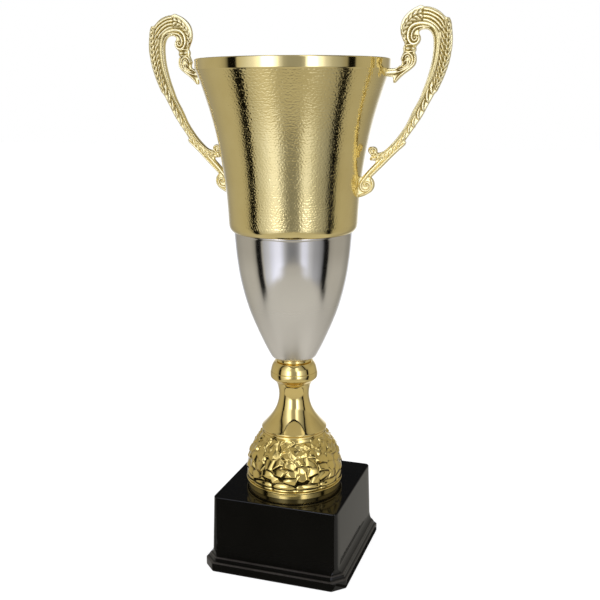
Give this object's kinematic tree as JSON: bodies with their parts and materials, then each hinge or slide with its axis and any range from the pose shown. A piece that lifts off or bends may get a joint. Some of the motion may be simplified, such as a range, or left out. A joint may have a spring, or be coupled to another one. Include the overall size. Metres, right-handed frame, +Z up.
{
  "type": "cup trophy",
  "caption": "Tall handled cup trophy: flared textured gold cup on a satin silver bowl, turned gold stem, leaf-relief dome and square black moulded plinth.",
  "frame": {"origin": "centre of the resting face under the plinth", "axes": "+Z up along the cup's axis, handles along +X and -X, -Y is the front face of the plinth"},
  "size_m": [0.2594, 0.16, 0.4746],
  "materials": {
    "gold_sheet": "polished, stippled wall",
    "satin_silver": "satin spun",
    "gold_plastic": "metallised gold, mirror",
    "gold_handle": "metallised pale gold, bright",
    "black_plastic": "moulded, high gloss",
    "felt": "felt",
    "zinc_steel": "zinc plated"
  },
  "bodies": {
    "root": {"plinth_shell": "black_plastic", "plinth_weight": "zinc_steel", "base_closing_plate": "black_plastic", "base_felt_pad": "felt", "tie_rod": "zinc_steel", "base_washer": "zinc_steel", "base_nut": "zinc_steel", "dome_riser": "gold_plastic", "bell_stem": "gold_plastic", "stem_collar": "gold_plastic", "bowl_seat_ring": "gold_plastic", "lower_bowl": "satin_silver", "upper_cup": "gold_sheet", "cup_washer": "zinc_steel", "cup_nut": "zinc_steel", "handle_left": "gold_handle", "handle_right": "gold_handle", "handle_screws": "zinc_steel", "handle_washers": "zinc_steel"}
  },
  "joints": []
}
